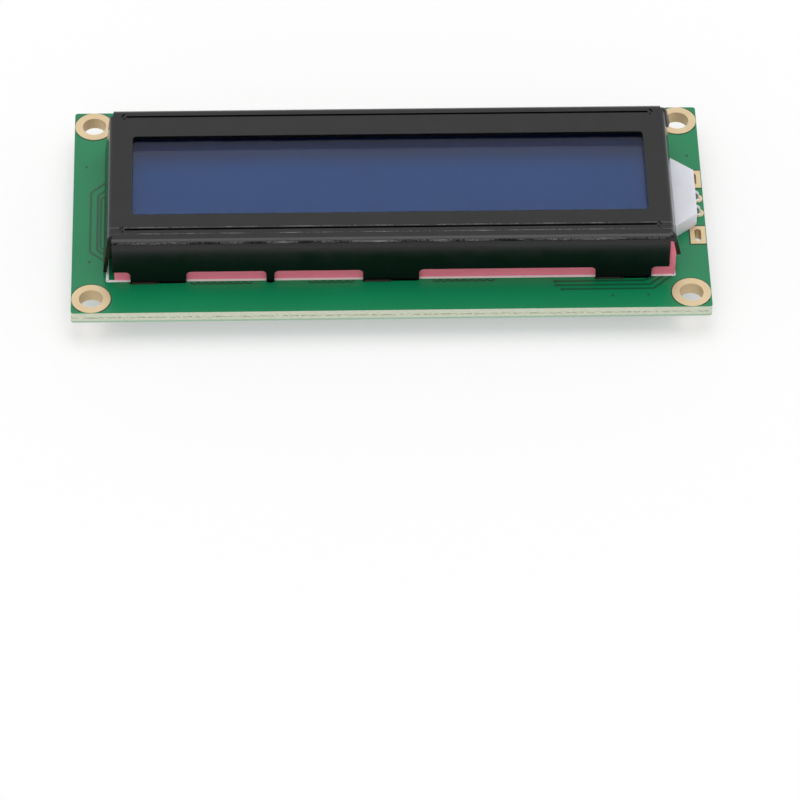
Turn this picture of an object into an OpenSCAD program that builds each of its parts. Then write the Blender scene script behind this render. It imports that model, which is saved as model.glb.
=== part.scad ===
// Character LCD module: a circuit board that carries a display cell and a side-lit
// backlight under a stamped steel bezel, with two bonded chips and their resistors
// on the back. All sizes are millimetres. +X runs along the display, +Y towards the
// header edge and +Z out of the display. The origin is under the board's centre,
// on the plane of the bezel's six twisted tabs, on which the module rests.

/* [Circuit board] */
// Length of the board
board_w = 80; // [79.8:0.1:84]
// Width of the board, from the near edge to the header edge
board_d = 36; // [35.9:0.1:38]
// Thickness of the board
board_t = 1.6; // [1:0.1:2.4]
// Corner radius of the board
board_r = 0.4; // [0.2:0.1:1]
// Thickness of the gilded copper
foil = 0.05; // [0.03:0.01:0.08]

/* [Mounting holes] */
// Spacing of the mounting holes along the board
mount_dx = 75; // [74.8:0.1:75.2]
// Spacing of the mounting holes across the board
mount_dy = 31; // [30.8:0.1:31.2]
// Radius of the plated mounting holes
mount_r = 1.5; // [1.25:0.05:1.7]
// Radius of the pads round the mounting holes
mount_pad_r = 2.45; // [2:0.05:2.5]

/* [Header] */
// Number of header holes
header_n = 16; // [14:1:16]
// Pitch of the header holes
header_pitch = 2.54; // [2.5:0.02:2.54]
// Distance of the first hole from the left end of the board
header_inset = 8; // [7.9:0.1:8.5]
// Radius of the plated header holes
header_r = 0.5; // [0.4:0.05:0.6]
// Width of the header pads
header_pad_w = 1.9; // [1.5:0.05:2]

/* [Bezel] */
// Height of the bezel's face above the board
bezel_h = 6.8; // [6.4:0.1:8]
// Depth of the bezel over its long skirts
bezel_d = 24.5; // [24.4:0.1:24.6]
// Shift of the bezel towards the near edge of the board
bezel_shift = 0.45; // [0.35:0.05:0.5]
// Length of the long skirts
skirt_w = 69.6; // [69:0.1:70]
// Thickness of the steel
steel_t = 0.5; // [0.4:0.05:0.5]
// Outer radius of the long bends
bend_r = 1; // [0.8:0.05:1.1]
// Outer radius of the short bends
side_bend_r = 0.6; // [0.55:0.05:0.7]
// Outward lean of the left skirt, in degrees
left_flare = 7; // [0:1:8]
// Outward lean of the right skirt, in degrees
right_flare = 10; // [0:1:12]
// Length of the window
window_w = 64.6; // [60:0.1:65]
// Width of the window
window_d = 14; // [12:0.1:14.5]
// Height of the openings along the long skirts
port_h = 1.8; // [1.2:0.1:2.2]
// Width of each foot of the long skirts
foot_w = 7; // [6.8:0.1:7]
// Distance between neighbouring feet
foot_pitch = 29.1; // [28.5:0.1:29.3]
// Distance of the locating lugs from the middle
lug_x = 15.1; // [14.5:0.1:15.5]
// Width of a locating lug
lug_w = 1; // [0.8:0.1:1]

/* [Twisted tabs] */
// Drop of the tabs below the board
tab_drop = 2.9; // [2.4:0.1:3.4]
// Width of the straight half of a tab
tab_root_w = 3.3; // [3:0.1:3.4]
// Developed length of the twisted half, near row and far row
tab_wing_w = [3.7, 4];
// Twist of the near row and of the far row, in degrees
tab_twist = [48, 57];
// Height of the slit that frees the twisted half from the foot
tab_slit = 0.6; // [0.3:0.1:1]

/* [Display cell] */
// Length of the glass
glass_w = 68.4; // [67:0.1:68.6]
// Thickness of each glass plate
glass_t = 1.05; // [0.7:0.05:1.1]
// Thickness of each polariser
polariser_t = 0.2; // [0.15:0.05:0.25]
// Thickness of the edge seal between the plates
seal_t = 0.04; // [0.02:0.01:0.06]

/* [Backlight] */
// Thickness of the tongue that leaves the bezel
tongue_t = 2.1; // [1.8:0.1:2.4]
// Distance of the tongue's end from the middle of the board
tongue_x = 38.85; // [38.2:0.05:38.85]
// Width of the tongue's end
tongue_w = 7.8; // [6:0.1:8.4]

/* [Chips and resistors] */
// Radius of the two epoxy domes, controller and driver
dome_r = [6.55, 5.85];
// Height of the epoxy domes
dome_h = 1.5; // [1.2:0.1:2]
// Pitch of the resistor column
resistor_pitch = 2.39; // [2.3:0.01:2.6]

/* [Hidden] */
$fn = 48;
eps = 0.01;

// Levels, counted from the plane of the tab tips
z_back = tab_drop;
z_top = z_back + board_t;
z_plate = bezel_h - steel_t;

// Bezel
bezel_y = -bezel_shift;
skirt_y = bezel_d / 2;
flat_d = bezel_d - 2 * bend_r;
end_inset = 0.08;
flat_w = skirt_w - 2 * end_inset;
corner_slit = 0.4;
side_d = flat_d - 2 * corner_slit;
left_reach = bezel_h - 1;
right_reach = 3.3;
port_r = 0.6;
foot_x = [-foot_pitch, 0, foot_pitch];
slot_w = 1.2;
slot_l = foot_w + 0.4;
slot_y = skirt_y - steel_t + 0.1;
lug_hole_r = 0.7;
lug_drop = 1.1;
window_r = 0.5;
groove_y = 10.15;
groove_l = 66.4;
groove_w = 0.34;
groove_deep = 0.16;
crescent_r = 0.55;
crescent_hole_r = 0.3;
twist_r = 1.2;
tab_corner = 0.5;

// Display cell, stacked down from the bezel's plate
pad_t = 0.7;
core_t = 1.2;
glass_d = 2 * (skirt_y - steel_t - pad_t);
core_gap = 0.3;
core_inset = 0.8;
rear_d = glass_d - 2 * (core_t + core_gap);
window_lap = 0.8;
seal_inset = [0.5, 0.3];
seal_w = 1.2;
film_inset = [0.7, 0.4];
z_front_glass = z_plate - polariser_t - glass_t;
z_rear_glass = z_front_glass - seal_t - glass_t;
z_rear_polariser = z_rear_glass - polariser_t;
pad_left = 34.6;
pad_right = 35.6;

// Backlight, between the rear polariser and the board
film_t = 0.15;
guide_w = 68.6;
guide_d = glass_d - 2 * core_t - core_gap;
tongue_y = 0.3;
tongue_slope = 0.8;
tongue_root_w = tongue_w + 2 * tongue_slope * (tongue_x - guide_w / 2);
lamp_size = [2.2, 4.6, 1.4];
lamp_x = 37.3;
lead_x = 39.2;
lead_y = [1.15, -1.45];
lead_r = 0.25;
lead_z = 1.15;
lead_bend = 0.35;
lead_tail = 0.8;
lead_clear = 0.02;
lead_pad_r = 0.72;
solder_h = 0.95;

// Gilded pads
header_x = [for (i = [0:header_n - 1]) -board_w / 2 + header_inset + i * header_pitch];
header_y = mount_dy / 2;
lamp_pad = [1.95, 3.1];
lamp_pad_x = 38.93;
lamp_pad_y = [4.65, -5.4];
lamp_slot = [0.8, 2.1];
tab_pad = [7, 2.85];
tab_pad_gap = 0.2;

// Places on the back that are left empty: a chip, two capacitors and two links
chip_place = [28.95, 1.8];
chip_row = 2.9;
chip_pitch = 1.27;
chip_land = [1.9, 0.62];
cap_place_x = 29.55;
cap_place_y = [-2.8, -6.2];
cap_row = 1.7;
cap_land = [1.5, 1.6];
link_place_x = 34.68;
link_place_y = [-8.65, -10.72];
link_row = 0.72;
link_r = 0.45;

// Chips and resistors on the back, as seen through the board from the front
dome_at = [[-13.1, -0.85], [13.05, 0.25]];
die_size = [3.6, 3, 0.4];
column_x = -30.95;
column_y = 5.42;
resistor_f_at = [-22.4, -4.1];
resistor_8_at = [19.9, 12.75];
chip_0805 = [2, 1.25, 0.5];
chip_1206 = [3.1, 1.55, 0.55];
land_0805 = 3.75;
land_1206 = 5.4;
cap_w = 0.4;
jumper_at = [[31.5, 6.1], [28.95, 6.1], [26.6, 6.1]];
jumper_r = 0.95;
jumper_gap = 0.22;
jumper_solder_h = 0.45;
fillet_inset = 0.05;

// ---- Flat shapes ----

module rounded_rect(size, r) {
    square([size[0] - 2 * r, size[1]], center = true);
    square([size[0], size[1] - 2 * r], center = true);
    for (x = [-1, 1], y = [-1, 1])
        translate([x * (size[0] / 2 - r), y * (size[1] / 2 - r)]) circle(r);
}

module stadium(length, width) {
    square([length - width, width], center = true);
    for (x = [-1, 1]) translate([x * (length - width) / 2, 0]) circle(width / 2);
}

module board_outline() {
    rounded_rect([board_w, board_d], board_r);
}

module at_mounts() {
    for (x = [-1, 1], y = [-1, 1]) translate([x * mount_dx / 2, y * mount_dy / 2]) children();
}

module at_header() {
    for (x = header_x) translate([x, header_y]) children();
}

module at_lamp_pads() {
    for (y = lamp_pad_y) translate([lamp_pad_x, y]) children();
}

module at_leads() {
    for (y = lead_y) translate([lead_x, y]) children();
}

// Draws its child on the near side of the bezel and, turned by half a turn, on the far side
module both_sides() {
    for (turn = [0, 180]) translate([0, bezel_y]) rotate(turn) children();
}

// Draws a flat child as gilded copper on both faces
module on_faces() {
    translate([0, 0, z_back - foil]) linear_extrude(foil) children();
    translate([0, 0, z_top]) linear_extrude(foil) children();
}

// The same, with a second child as the plated wall that joins them
module plated() {
    on_faces() children(0);
    translate([0, 0, z_back]) linear_extrude(board_t) children(1);
}

// ---- Circuit board and its copper ----

module circuit_board() {
    color([0.09, 0.45, 0.28])
    translate([0, 0, z_back]) linear_extrude(board_t) difference() {
        board_outline();
        at_mounts() circle(mount_r + foil);
        at_header() circle(header_r);
        at_lamp_pads() rotate(90) stadium(lamp_slot[1] + 2 * foil, lamp_slot[0] + 2 * foil);
        at_leads() circle(lead_r + 2 * foil);
        both_sides() {
            for (x = foot_x) translate([x, -slot_y]) stadium(slot_l, slot_w);
            translate([-lug_x, -slot_y]) circle(lug_hole_r);
        }
    }
}

module mounting_eyelets() {
    color([0.95, 0.86, 0.72]) difference() {
        plated() {
            intersection() {
                at_mounts() circle(mount_pad_r);
                board_outline();
            }
            at_mounts() circle(mount_r + foil);
        }
        translate([0, 0, z_back - 1]) linear_extrude(board_t + 2) at_mounts() circle(mount_r);
    }
}

module header_pad_shape() {
    circle(header_pad_w / 2);
    translate([-header_pad_w / 2, 0]) square([header_pad_w, board_d / 2 - header_y]);
}

// The plating inside these small holes counts as the board's own wall
module header_pads() {
    color([0.95, 0.86, 0.72]) on_faces() difference() {
        at_header() header_pad_shape();
        at_header() circle(header_r);
    }
}

module lamp_pads() {
    color([0.95, 0.86, 0.72]) difference() {
        plated() {
            at_lamp_pads() square(lamp_pad, center = true);
            at_lamp_pads() rotate(90) stadium(lamp_slot[1] + 2 * foil, lamp_slot[0] + 2 * foil);
        }
        translate([0, 0, z_back - 1]) linear_extrude(board_t + 2)
            at_lamp_pads() rotate(90) stadium(lamp_slot[1], lamp_slot[0]);
    }
}

module lead_pads() {
    color([0.95, 0.86, 0.72]) difference() {
        plated() {
            at_leads() circle(lead_pad_r);
            at_leads() circle(lead_r + 2 * foil);
        }
        translate([0, 0, z_back - 1]) linear_extrude(board_t + 2) at_leads() circle(lead_r + foil);
    }
}

// Bare pads on the back where the twisted tabs can be soldered
module tab_pads() {
    color([0.95, 0.86, 0.72])
    translate([0, 0, z_back - foil]) linear_extrude(foil) both_sides()
        for (x = foot_x)
            translate([x, -slot_y + slot_w / 2 + tab_pad_gap + tab_pad[1] / 2])
                square(tab_pad, center = true);
}

// Pads of the places that are left empty: one eight-lead chip, two capacitors, two links
module spare_pads() {
    color([0.95, 0.86, 0.72]) translate([0, 0, z_back - foil]) linear_extrude(foil) {
        for (x = [-1, 1], i = [0:3])
            translate([chip_place[0] + x * chip_row, chip_place[1] + chip_pitch * (i - 1.5)])
                rounded_rect(chip_land, 0.12);
        for (x = [-1, 1], y = cap_place_y)
            translate([cap_place_x + x * cap_row, y]) square(cap_land, center = true);
        for (x = [-1, 1], y = link_place_y)
            translate([link_place_x + x * link_row, y]) circle(link_r);
    }
}

// Round solder links, each split in two halves; the first one is closed with solder
module jumper_pads() {
    color([0.95, 0.86, 0.72]) translate([0, 0, z_back - foil]) linear_extrude(foil)
        for (p = jumper_at) translate(p) difference() {
            circle(jumper_r);
            square([jumper_gap, 2 * jumper_r + 1], center = true);
        }
}

module jumper_solder() {
    color([0.8, 0.82, 0.84]) translate([jumper_at[0][0], jumper_at[0][1], z_back - foil])
        dome_shape(jumper_r - fillet_inset, jumper_solder_h, 2);
}

// ---- Bezel: one stamped and folded sheet ----

// A quarter of a bent sheet's section, its outer side at radius r from the origin
module bend_section(r, angle, start = 90) {
    steps = 12;
    turns = [for (i = [0:steps]) start + angle * i / steps];
    polygon(concat(
        [for (a = turns) r * [cos(a), sin(a)]],
        [for (i = [steps:-1:0]) (r - steel_t) * [cos(turns[i]), sin(turns[i])]]));
}

// An opening along a skirt's lower edge, with rounded upper corners
module port(x0, x1) {
    translate([x0, -1]) square([x1 - x0, port_h - port_r + 1]);
    translate([x0 + port_r, -1]) square([x1 - x0 - 2 * port_r, port_h + 1]);
    for (x = [x0 + port_r, x1 - port_r]) translate([x, port_h - port_r]) circle(port_r);
}

module skirt_face() {
    half = foot_w / 2;
    difference() {
        translate([-skirt_w / 2, 0]) square([skirt_w, bezel_h - bend_r]);
        port(-skirt_w / 2 - 2, foot_x[0] - half);
        port(foot_x[0] + half, -lug_x - lug_w / 2);
        port(-lug_x + lug_w / 2, foot_x[1] - half);
        port(foot_x[1] + half, foot_x[2] - half);
        port(foot_x[2] + half, skirt_w / 2 + 2);
    }
    translate([-lug_x - lug_w / 2, -lug_drop]) square([lug_w, lug_drop + port_h]);
    for (x = foot_x) translate([x, -board_t - tab_drop]) tab_root();
}

// The straight half of a tab, from its tip up into the foot, with one rounded corner
module tab_root() {
    translate([0, tab_corner]) square([tab_root_w, board_t + tab_drop]);
    square([tab_root_w - tab_corner, 1]);
    translate([tab_root_w - tab_corner, tab_corner]) circle(tab_corner);
}

// The twisted half of a tab, swung towards the middle of the board about the root's edge,
// so that its upper edge grips the pad beside the slot
module tab_wing(length, twist) {
    height = tab_drop - foil;
    flat = length - twist_r * twist * PI / 180;
    linear_extrude(tab_drop - tab_slit) {
        translate([0, twist_r]) bend_plan(twist);
        translate([-eps, -steel_t / 2]) square([0.5, steel_t]);
    }
    translate([0, twist_r]) rotate(-twist) translate([-flat, -twist_r + steel_t / 2, 0])
        rotate([90, 0, 0]) linear_extrude(steel_t) {
            translate([tab_corner, 0]) square([flat - tab_corner + eps, height]);
            translate([0, tab_corner]) square([1, height - tab_corner]);
            translate([tab_corner, tab_corner]) circle(tab_corner);
        }
}

module bend_plan(twist) {
    steps = 8;
    inner = twist_r - steel_t / 2;
    outer = twist_r + steel_t / 2;
    polygon(concat(
        [for (i = [0:steps]) outer * [-sin(twist * i / steps), -cos(twist * i / steps)]],
        [for (i = [steps:-1:0]) inner * [-sin(twist * i / steps), -cos(twist * i / steps)]]));
}

module long_skirt(length, twist) {
    translate([0, -skirt_y + steel_t, 0]) rotate([90, 0, 0]) linear_extrude(steel_t) skirt_face();
    translate([-skirt_w / 2, 0, 0]) rotate([90, 0, 90]) linear_extrude(skirt_w)
        translate([-skirt_y + bend_r, bezel_h - bend_r]) bend_section(bend_r, 90);
    for (x = foot_x)
        translate([x, -skirt_y + steel_t / 2, -board_t - tab_drop]) tab_wing(length, twist);
}

// A short skirt: the bend and a leaning wall, drawn on the left
module side_skirt(flare, reach) {
    translate([-flat_w / 2, -side_d / 2, 0]) rotate([90, 0, 180]) linear_extrude(side_d)
        mirror([1, 0]) translate([0, bezel_h - side_bend_r]) {
            bend_section(side_bend_r, 90 - flare);
            rotate(-flare) translate([-side_bend_r, -reach]) square([steel_t, reach]);
        }
}

// The pressed line beside a long edge, with a small crescent at each end
module groove() {
    stadium(groove_l, groove_w);
    for (side = [-1, 1]) translate([side * (groove_l / 2 + 0.05), 0]) intersection() {
        difference() {
            circle(crescent_r);
            circle(crescent_hole_r);
        }
        translate([side * 0.6, 0]) square([1, 2], center = true);
    }
}

module bezel_plate() {
    difference() {
        translate([0, 0, z_plate]) linear_extrude(steel_t) difference() {
            square([flat_w, flat_d], center = true);
            rounded_rect([window_w, window_d], window_r);
        }
        for (side = [-1, 1])
            translate([0, side * groove_y + bezel_shift, bezel_h - groove_deep])
                linear_extrude(1) groove();
    }
}

module bezel() {
    color([0.13, 0.13, 0.14]) translate([0, bezel_y, z_top]) {
        bezel_plate();
        long_skirt(tab_wing_w[0], tab_twist[0]);
        rotate(180) long_skirt(tab_wing_w[1], tab_twist[1]);
        side_skirt(left_flare, left_reach);
        rotate(180) side_skirt(right_flare, right_reach);
    }
}

// ---- Display cell and its contact strips ----

module plate(size, z, thickness) {
    translate([-size[0] / 2, bezel_y - size[1] / 2, z_top + z]) cube([size[0], size[1], thickness]);
}

module front_polariser() {
    color([0.27, 0.35, 0.56]) plate(
        [window_w + 2 * window_lap, window_d + 2 * window_lap], z_plate - polariser_t, polariser_t);
}

module front_glass() {
    color([0.6, 0.66, 0.75, 0.5]) plate([glass_w, glass_d], z_front_glass, glass_t);
}

module cell_seal() {
    color([0.85, 0.85, 0.8]) difference() {
        plate([glass_w, rear_d] - 2 * seal_inset, z_front_glass - seal_t, seal_t);
        plate([glass_w - 2 * seal_w, rear_d - 2 * seal_w] - 2 * seal_inset, z_front_glass - 1, 2);
    }
}

module rear_glass() {
    color([0.6, 0.66, 0.75, 0.5]) plate([glass_w, rear_d], z_rear_glass, glass_t);
}

module rear_polariser() {
    color([0.27, 0.35, 0.56]) plate([glass_w, rear_d] - 2 * film_inset, z_rear_polariser, polariser_t);
}

// The pink silicone face of a contact strip, its upper corner rounded to clear the bend
module zebra_pad(x0, x1) {
    clear_r = bend_r - steel_t + 0.05;
    outer_y = -skirt_y + steel_t;
    color([0.85, 0.43, 0.52]) translate([x0, 0, z_top]) rotate([90, 0, 90]) linear_extrude(x1 - x0) {
        translate([outer_y, 0]) square([pad_t, z_plate - clear_r]);
        translate([outer_y + clear_r, 0]) square([pad_t - clear_r, z_plate]);
        translate([outer_y + clear_r, z_plate - clear_r]) intersection() {
            circle(clear_r);
            translate([-clear_r, 0]) square(clear_r);
        }
    }
}

module zebra_pad_near() {
    translate([0, bezel_y, 0]) zebra_pad(-pad_left, pad_right);
}

module zebra_pad_far() {
    translate([0, bezel_y, 0]) rotate(180) zebra_pad(-pad_left, pad_left);
}

module zebra_core() {
    color([0.2, 0.2, 0.2])
    translate([-glass_w / 2 + core_inset, -skirt_y + steel_t + pad_t, z_top])
        cube([glass_w - 2 * core_inset, core_t, z_front_glass]);
}

module zebra_core_near() {
    translate([0, bezel_y, 0]) zebra_core();
}

module zebra_core_far() {
    translate([0, bezel_y, 0]) rotate(180) zebra_core();
}

// ---- Backlight ----

module tongue_shape() {
    translate([0, tongue_y - bezel_y]) polygon([
        [guide_w / 2 - 1, -tongue_root_w / 2], [guide_w / 2, -tongue_root_w / 2],
        [tongue_x, -tongue_w / 2], [tongue_x, tongue_w / 2],
        [guide_w / 2, tongue_root_w / 2], [guide_w / 2 - 1, tongue_root_w / 2]]);
}

// The clear plate that spreads the light, with the tongue that houses the lamp
module light_guide() {
    color([0.9, 0.91, 0.94]) difference() {
        translate([0, bezel_y, z_top]) {
            translate([0, 0, film_t]) linear_extrude(z_rear_polariser - 2 * film_t)
                square([guide_w, guide_d], center = true);
            translate([0, 0, foil]) linear_extrude(tongue_t - foil) intersection() {
                tongue_shape();
                translate([guide_w / 2, -20]) square([10, 40]);
            }
            translate([0, 0, film_t]) linear_extrude(tongue_t - film_t) tongue_shape();
        }
        translate([lamp_x - lamp_size[0] / 2, tongue_y - lamp_size[1] / 2, z_top - eps])
            cube([lamp_size[0], lamp_size[1], lamp_size[2] + foil + eps]);
        for (y = lead_y) translate([lamp_x, y, z_top + lead_z]) rotate([0, 90, 0])
            cylinder(r = lead_r + lead_clear, h = 4);
    }
}

module diffuser_sheet() {
    color([0.97, 0.97, 0.97]) plate([guide_w, guide_d], z_rear_polariser - film_t, film_t);
}

module reflector_sheet() {
    color([0.95, 0.96, 0.97]) plate([guide_w, guide_d], 0, film_t);
}

module lamp() {
    color([0.95, 0.95, 0.88]) difference() {
        translate([lamp_x - lamp_size[0] / 2, tongue_y - lamp_size[1] / 2, z_top + foil])
            cube(lamp_size);
        lamp_leads();
    }
}

// Two wires that leave the lamp, turn down and pass through the board
module lamp_leads() {
    color([0.8, 0.8, 0.8]) for (y = lead_y) translate([lead_x, y, z_top + lead_z]) {
        translate([lamp_x - lead_x, 0, 0]) rotate([0, 90, 0])
            cylinder(r = lead_r, h = lead_x - lamp_x - lead_bend);
        translate([-lead_bend, 0, -lead_bend]) rotate([90, 0, 0])
            rotate_extrude(angle = 90) translate([lead_bend, 0]) circle(lead_r);
        translate([0, 0, -lead_z - board_t - lead_tail])
            cylinder(r = lead_r, h = lead_z + board_t + lead_tail - lead_bend);
    }
}

// Solder fills the plated hole round each lead and stands up as a cone on the back
module lamp_solder() {
    color([0.8, 0.82, 0.84]) difference() {
        at_leads() translate([0, 0, z_top]) mirror([0, 0, 1]) rotate_extrude() polygon([
            [0, 0], [lead_r + foil, 0], [lead_r + foil, board_t + foil],
            [lead_pad_r - 0.02, board_t + foil], [lead_pad_r - 0.1, board_t + solder_h * 0.3],
            [lead_r + 0.17, board_t + solder_h * 0.8], [lead_r + 0.11, board_t + solder_h],
            [0, board_t + solder_h]]);
        lamp_leads();
    }
}

// ---- Chips and resistors ----

// A low dome that hangs down from z = 0: flat in the middle, rounded to its rim
module dome_shape(r, h, power = 3.2) {
    steps = 14;
    rim = [for (i = [0:steps]) sin(90 * i / steps)];
    rotate_extrude($fn = 72) polygon(concat(
        [[0, 0]], [for (u = rim) [r * u, -h * pow(1 - pow(u, power), 0.6)]]));
}

module dome(i) {
    color([0.2, 0.2, 0.22]) difference() {
        translate([dome_at[i][0], dome_at[i][1], z_back]) dome_shape(dome_r[i], dome_h);
        die(i);
    }
}

module die(i) {
    color([0.35, 0.37, 0.4]) translate([dome_at[i][0], dome_at[i][1], z_back - die_size[2] / 2])
        cube(die_size, center = true);
}

module dome_controller() {
    dome(0);
}

module dome_driver() {
    dome(1);
}

module die_controller() {
    die(0);
}

module die_driver() {
    die(1);
}

// A ceramic chip with wrapped metal ends, mounted under the board on its solder lands
module resistor(at, chip) {
    color([0.15, 0.15, 0.15]) translate([at[0], at[1], z_back - foil - chip[2] / 2]) {
        cube([chip[0] - 0.1, chip[1] - 0.06, chip[2] - 0.06], center = true);
        for (x = [-1, 1]) translate([x * (chip[0] - cap_w) / 2, 0, 0])
            cube([cap_w, chip[1], chip[2]], center = true);
    }
}

function column_at(n) = [column_x, column_y - (6 - n) * resistor_pitch];

module resistor_1() {
    resistor(column_at(1), chip_0805);
}

module resistor_2() {
    resistor(column_at(2), chip_0805);
}

module resistor_3() {
    resistor(column_at(3), chip_0805);
}

module resistor_4() {
    resistor(column_at(4), chip_0805);
}

module resistor_5() {
    resistor(column_at(5), chip_0805);
}

module resistor_6() {
    resistor(column_at(6), chip_0805);
}

module resistor_8() {
    resistor(resistor_8_at, chip_1206);
}

module resistor_f() {
    resistor(resistor_f_at, chip_0805);
}

// The land and the sloping fillet at each end of a chip
module solder_ends(at, chip, land) {
    run = (land - chip[0]) / 2;
    rise = chip[2] * 0.8;
    translate([at[0], at[1], z_back]) for (side = [0, 180]) rotate(side)
        translate([chip[0] / 2, chip[1] / 2 - fillet_inset, 0]) rotate([90, 0, 0])
            linear_extrude(chip[1] - 2 * fillet_inset) polygon([
                [0, -foil], [0, -foil - rise], [run * 0.3, -foil - rise * 0.45],
                [run * 0.75, -foil - 0.08], [run, -foil], [run, 0], [-cap_w, 0], [-cap_w, -foil]]);
}

module resistor_solder() {
    color([0.82, 0.83, 0.85]) {
        for (n = [1:6]) solder_ends(column_at(n), chip_0805, land_0805);
        solder_ends(resistor_f_at, chip_0805, land_0805);
        solder_ends(resistor_8_at, chip_1206, land_1206);
    }
}

circuit_board();
bezel();
front_polariser();
front_glass();
cell_seal();
rear_glass();
rear_polariser();
zebra_pad_near();
zebra_pad_far();
zebra_core_near();
zebra_core_far();
light_guide();
diffuser_sheet();
reflector_sheet();
lamp();
lamp_leads();
lamp_solder();
lead_pads();
lamp_pads();
mounting_eyelets();
header_pads();
tab_pads();
dome_controller();
dome_driver();
die_controller();
die_driver();
resistor_1();
resistor_2();
resistor_3();
resistor_4();
resistor_5();
resistor_6();
resistor_8();
resistor_f();
resistor_solder();
spare_pads();
jumper_pads();
jumper_solder();
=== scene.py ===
# Character LCD module: finishes, print, tracks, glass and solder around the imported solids
import math

import bmesh
import bpy
from mathutils import Matrix, Vector


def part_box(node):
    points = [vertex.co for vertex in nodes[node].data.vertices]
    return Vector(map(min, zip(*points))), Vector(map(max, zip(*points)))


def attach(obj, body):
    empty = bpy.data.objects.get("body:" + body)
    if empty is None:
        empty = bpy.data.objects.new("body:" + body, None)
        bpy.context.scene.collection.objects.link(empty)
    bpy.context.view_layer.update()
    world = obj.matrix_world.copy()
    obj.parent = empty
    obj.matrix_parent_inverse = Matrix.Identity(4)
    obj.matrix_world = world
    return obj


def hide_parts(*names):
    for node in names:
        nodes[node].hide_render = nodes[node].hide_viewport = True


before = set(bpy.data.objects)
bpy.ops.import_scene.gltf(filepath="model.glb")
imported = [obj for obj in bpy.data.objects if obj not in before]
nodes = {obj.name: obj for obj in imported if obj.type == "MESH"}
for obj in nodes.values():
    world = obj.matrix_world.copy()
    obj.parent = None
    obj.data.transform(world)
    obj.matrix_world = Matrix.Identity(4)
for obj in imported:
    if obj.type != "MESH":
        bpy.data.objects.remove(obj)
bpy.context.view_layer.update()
mm = 0.001
boardLow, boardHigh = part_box("circuit_board")
zBack, zFace = boardLow[2], boardHigh[2]
boardPlan = {"headerX": [-32.0 + 2.54 * i for i in range(16)], "headerY": 15.5, "mountX": 37.5, "mountY": 15.5,
             "slotX": (-29.1, 0, 29.1), "slotY": (-12.3, 11.4), "tabPadY": (-10.075, 9.175),
             "lampPadY": (4.65, -5.4)}  # millimetres, as the solids have them
print("frame loaded:", len(nodes), "solids")


# small helpers

def hexColour(text):  # sRGB hex to the linear colour a shader wants
    parts = [int(text[i:i + 2], 16) / 255 for i in (1, 3, 5)]
    return tuple(c / 12.92 if c <= 0.04045 else ((c + 0.055) / 1.055) ** 2.4 for c in parts) + (1.0,)


def perMm(size):  # texture scale that makes one feature about this many millimetres across
    return 1.0 / (size * mm)


def addNode(tree, kind, inputs=None, **settings):
    node = tree.nodes.new(kind)
    for key, value in settings.items():
        setattr(node, key, value)
    for key, value in (inputs or {}).items():
        if isinstance(value, bpy.types.NodeSocket):
            tree.links.new(value, node.inputs[key])
        else:
            node.inputs[key].default_value = value
    return node


def newMaterial(name, colour, roughness, **sockets):
    material = bpy.data.materials.new(name)
    material.use_nodes = True
    tree = material.node_tree
    tree.nodes.clear()
    values = {key.replace("_", " "): value for key, value in sockets.items()}
    shader = addNode(tree, "ShaderNodeBsdfPrincipled",
                     {"Base Color": hexColour(colour), "Roughness": roughness, **values})
    addNode(tree, "ShaderNodeOutputMaterial", {"Surface": shader.outputs["BSDF"]})
    place = addNode(tree, "ShaderNodeTexCoord").outputs["Object"]
    return material, tree, shader, place


def setInputs(tree, shader, **links):
    for key, socket in links.items():
        tree.links.new(socket, shader.inputs[key.replace("_", " ")])


def mottled(tree, vector, sizeMm, detail, shades):  # noise of a real size, and two shades blended by it
    noise = addNode(tree, "ShaderNodeTexNoise", {"Vector": vector, "Scale": perMm(sizeMm), "Detail": detail})
    blend = addNode(tree, "ShaderNodeMix", {"Factor": noise.outputs["Fac"], 6: hexColour(shades[0]),
                                            7: hexColour(shades[1])}, data_type="RGBA")
    return noise.outputs["Fac"], blend.outputs[2]


def setSurface(tree, socket):  # what reaches the material's output
    output = next(node for node in tree.nodes if node.type == "OUTPUT_MATERIAL")
    tree.links.new(socket, output.inputs["Surface"])


def seenStraight(tree):  # 1 for rays from the eye, off gloss or through glass, 0 for the rest
    rays = addNode(tree, "ShaderNodeLightPath").outputs
    straight = addNode(tree, "ShaderNodeMath", {0: rays["Is Camera Ray"], 1: rays["Is Glossy Ray"]},
                       operation="MAXIMUM")
    return addNode(tree, "ShaderNodeMath", {0: straight.outputs[0], 1: rays["Is Transmission Ray"]},
                   operation="MAXIMUM").outputs[0]


def dress(material, *names):
    for name in names:
        for slot in nodes[name].material_slots:
            slot.material = material


def addPiece(name, mesh, smoothAngle=35):
    mesh.name = name
    mesh.shade_smooth()
    mesh.set_sharp_from_angle(angle=math.radians(smoothAngle))
    piece = bpy.data.objects.new(name, mesh)
    bpy.context.scene.collection.objects.link(piece)
    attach(piece, "root")
    return piece


def closeShape(name, shape, *finishes):  # bmesh to mesh, with its finishes in slot order
    mesh = bpy.data.meshes.new(name)
    shape.to_mesh(mesh)
    shape.free()
    for finish in finishes:
        mesh.materials.append(finish)
    return mesh


def onFace(x, y, lift=0.0):  # a point above the front of the board, in millimetres
    return (x * mm, y * mm, zFace + lift * mm)


def onBack(x, y, lift=0.0):  # a point below the back, x counted as that side is read
    return (-x * mm, y * mm, zBack - lift * mm)


# finishes

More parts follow.
